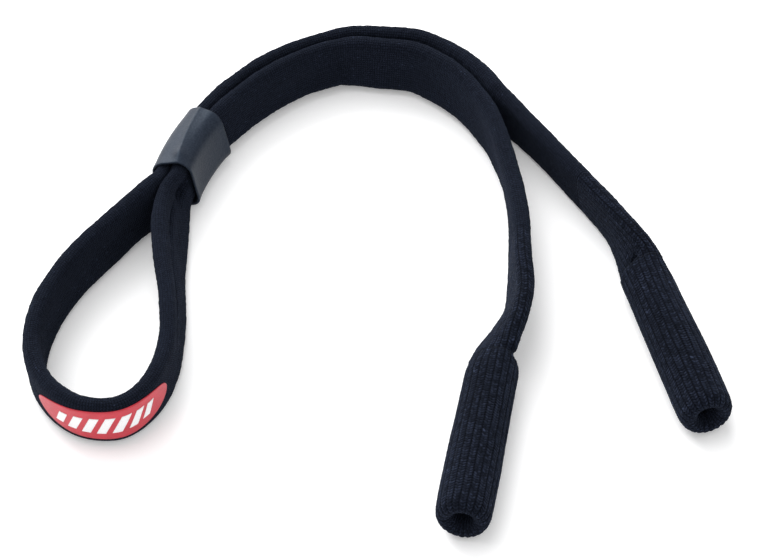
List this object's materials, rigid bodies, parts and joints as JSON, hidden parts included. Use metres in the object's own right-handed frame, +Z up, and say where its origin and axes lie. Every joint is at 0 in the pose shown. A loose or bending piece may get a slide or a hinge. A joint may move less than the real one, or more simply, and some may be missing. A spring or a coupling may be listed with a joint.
{
  "type": "eyeglass retainer strap",
  "caption": "Knitted eyeglass retainer strap, doubled through a rubber slider into a teardrop loop, its two arms ending in ribbed sleeves for temple tips.",
  "frame": {"origin": "centre of the bounding box on the plane that the strap lies on", "axes": "+Z up from that plane; the loop lies towards -X, and both sleeves' mouths point towards -Y"},
  "size_m": [0.1846, 0.1743, 0.0169],
  "materials": {
    "knit": "dark navy jersey knit, matt",
    "rib_knit": "dark navy rib knit, matt, slightly fuzzy",
    "cuff_lining": "dark navy rib knit, matt",
    "thread": "dark spun sewing thread",
    "slider_rubber": "satin moulded rubber",
    "label_film": "red heat-set print film, satin",
    "label_ink": "white print, satin"
  },
  "bodies": {
    "strap": {"strap_loop": "knit", "label": "label_film", "label_print": "label_ink", "left_strand": "knit", "right_strand": "knit"},
    "slider": {"slider": "slider_rubber"},
    "left_arm": {"left_arm_root": "knit", "left_arm": "knit"},
    "left_sleeve": {"left_neck": "knit", "left_tail": "knit", "left_neck_seam": "thread", "left_sleeve": "rib_knit", "left_cuff": "cuff_lining", "left_cuff_hem": "thread"},
    "right_arm": {"right_arm_root": "knit", "right_arm": "knit"},
    "right_sleeve": {"right_neck": "knit", "right_tail": "knit", "right_neck_seam": "thread", "right_sleeve": "rib_knit", "right_cuff": "cuff_lining", "right_cuff_hem": "thread"}
  },
  "joints": [
    {"name": "slider_travel", "type": "hinge", "parent": "strap", "child": "slider", "pos_m": [0.0138, 0.0164, 0], "axis": [0, 0, 1], "range_deg": [-36, 0]},
    {"name": "left_arm_swing", "type": "hinge", "parent": "strap", "child": "left_arm", "pos_m": [0.03478, 0.04279, 0], "axis": [0, 0, 1], "range_deg": [-14, 6], "deforming": ["left_arm_root"]},
    {"name": "left_sleeve_swing", "type": "hinge", "parent": "left_arm", "child": "left_sleeve", "pos_m": [0.03544, -0.01757, 0], "axis": [0, 0, 1], "range_deg": [-25, 30], "deforming": ["left_neck"]},
    {"name": "right_arm_swing", "type": "hinge", "parent": "strap", "child": "right_arm", "pos_m": [0.04286, 0.04997, 0], "axis": [0, 0, 1], "range_deg": [-6, 30], "deforming": ["right_arm_root"]},
    {"name": "right_sleeve_swing", "type": "hinge", "parent": "right_arm", "child": "right_sleeve", "pos_m": [0.06606, 0.01264, 0], "axis": [0, 0, 1], "range_deg": [-30, 30], "deforming": ["right_neck"]}
  ]
}
